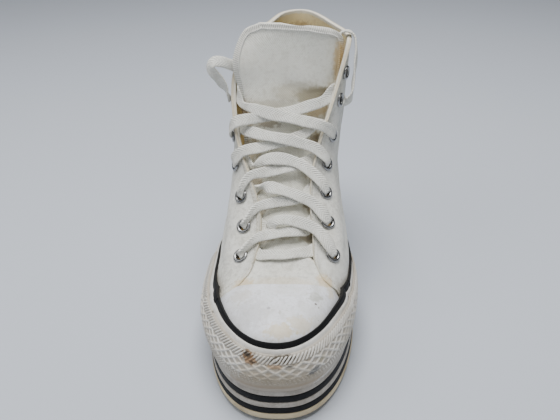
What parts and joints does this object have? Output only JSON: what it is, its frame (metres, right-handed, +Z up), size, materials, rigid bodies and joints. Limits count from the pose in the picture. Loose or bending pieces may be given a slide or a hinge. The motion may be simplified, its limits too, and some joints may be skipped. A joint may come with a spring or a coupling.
{
  "type": "high-top sneaker",
  "caption": "Worn canvas high-top sneaker for the right foot, on a layered rubber platform with a toe cap, loosely laced and empty.",
  "frame": {"origin": "On the floor, under the middle of the shoe's bounding box.", "axes": "+Y runs from the toe to the heel, along the shoe's length. +X is the inner (medial) side. +Z is up."},
  "size_m": [0.1106, 0.2735, 0.2031],
  "materials": {
    "tan_rubber": "tan gum rubber, matt",
    "white_rubber": "off-white rubber, scuffed",
    "black_rubber": "black rubber",
    "canvas": "off-white canvas, worn",
    "lining": "yellowed cloth",
    "eyelet_metal": "bright metal",
    "lace_cloth": "flat woven lace"
  },
  "bodies": {
    "root": {"outsole": "tan_rubber", "midsole": "white_rubber", "lower_stripe": "black_rubber", "upper_stripe": "black_rubber", "foxing": "white_rubber", "toe_bumper": "white_rubber", "foxing_stripe": "black_rubber", "toe_cap": "white_rubber", "upper": "canvas", "tongue": "canvas", "insole": "lining", "eyelet_outer_1": "eyelet_metal", "eyelet_outer_2": "eyelet_metal", "eyelet_outer_3": "eyelet_metal", "eyelet_outer_4": "eyelet_metal", "eyelet_outer_5": "eyelet_metal", "eyelet_outer_6": "eyelet_metal", "eyelet_outer_7": "eyelet_metal", "eyelet_inner_1": "eyelet_metal", "eyelet_inner_2": "eyelet_metal", "eyelet_inner_3": "eyelet_metal", "eyelet_inner_4": "eyelet_metal", "eyelet_inner_5": "eyelet_metal", "eyelet_inner_6": "eyelet_metal", "eyelet_inner_7": "eyelet_metal", "lace_bar": "lace_cloth", "lace_crossing_1": "lace_cloth", "lace_crossing_2": "lace_cloth", "lace_crossing_3": "lace_cloth", "lace_crossing_4": "lace_cloth", "lace_crossing_5": "lace_cloth", "lace_end_outer": "lace_cloth", "lace_end_inner": "lace_cloth"}
  },
  "joints": []
}
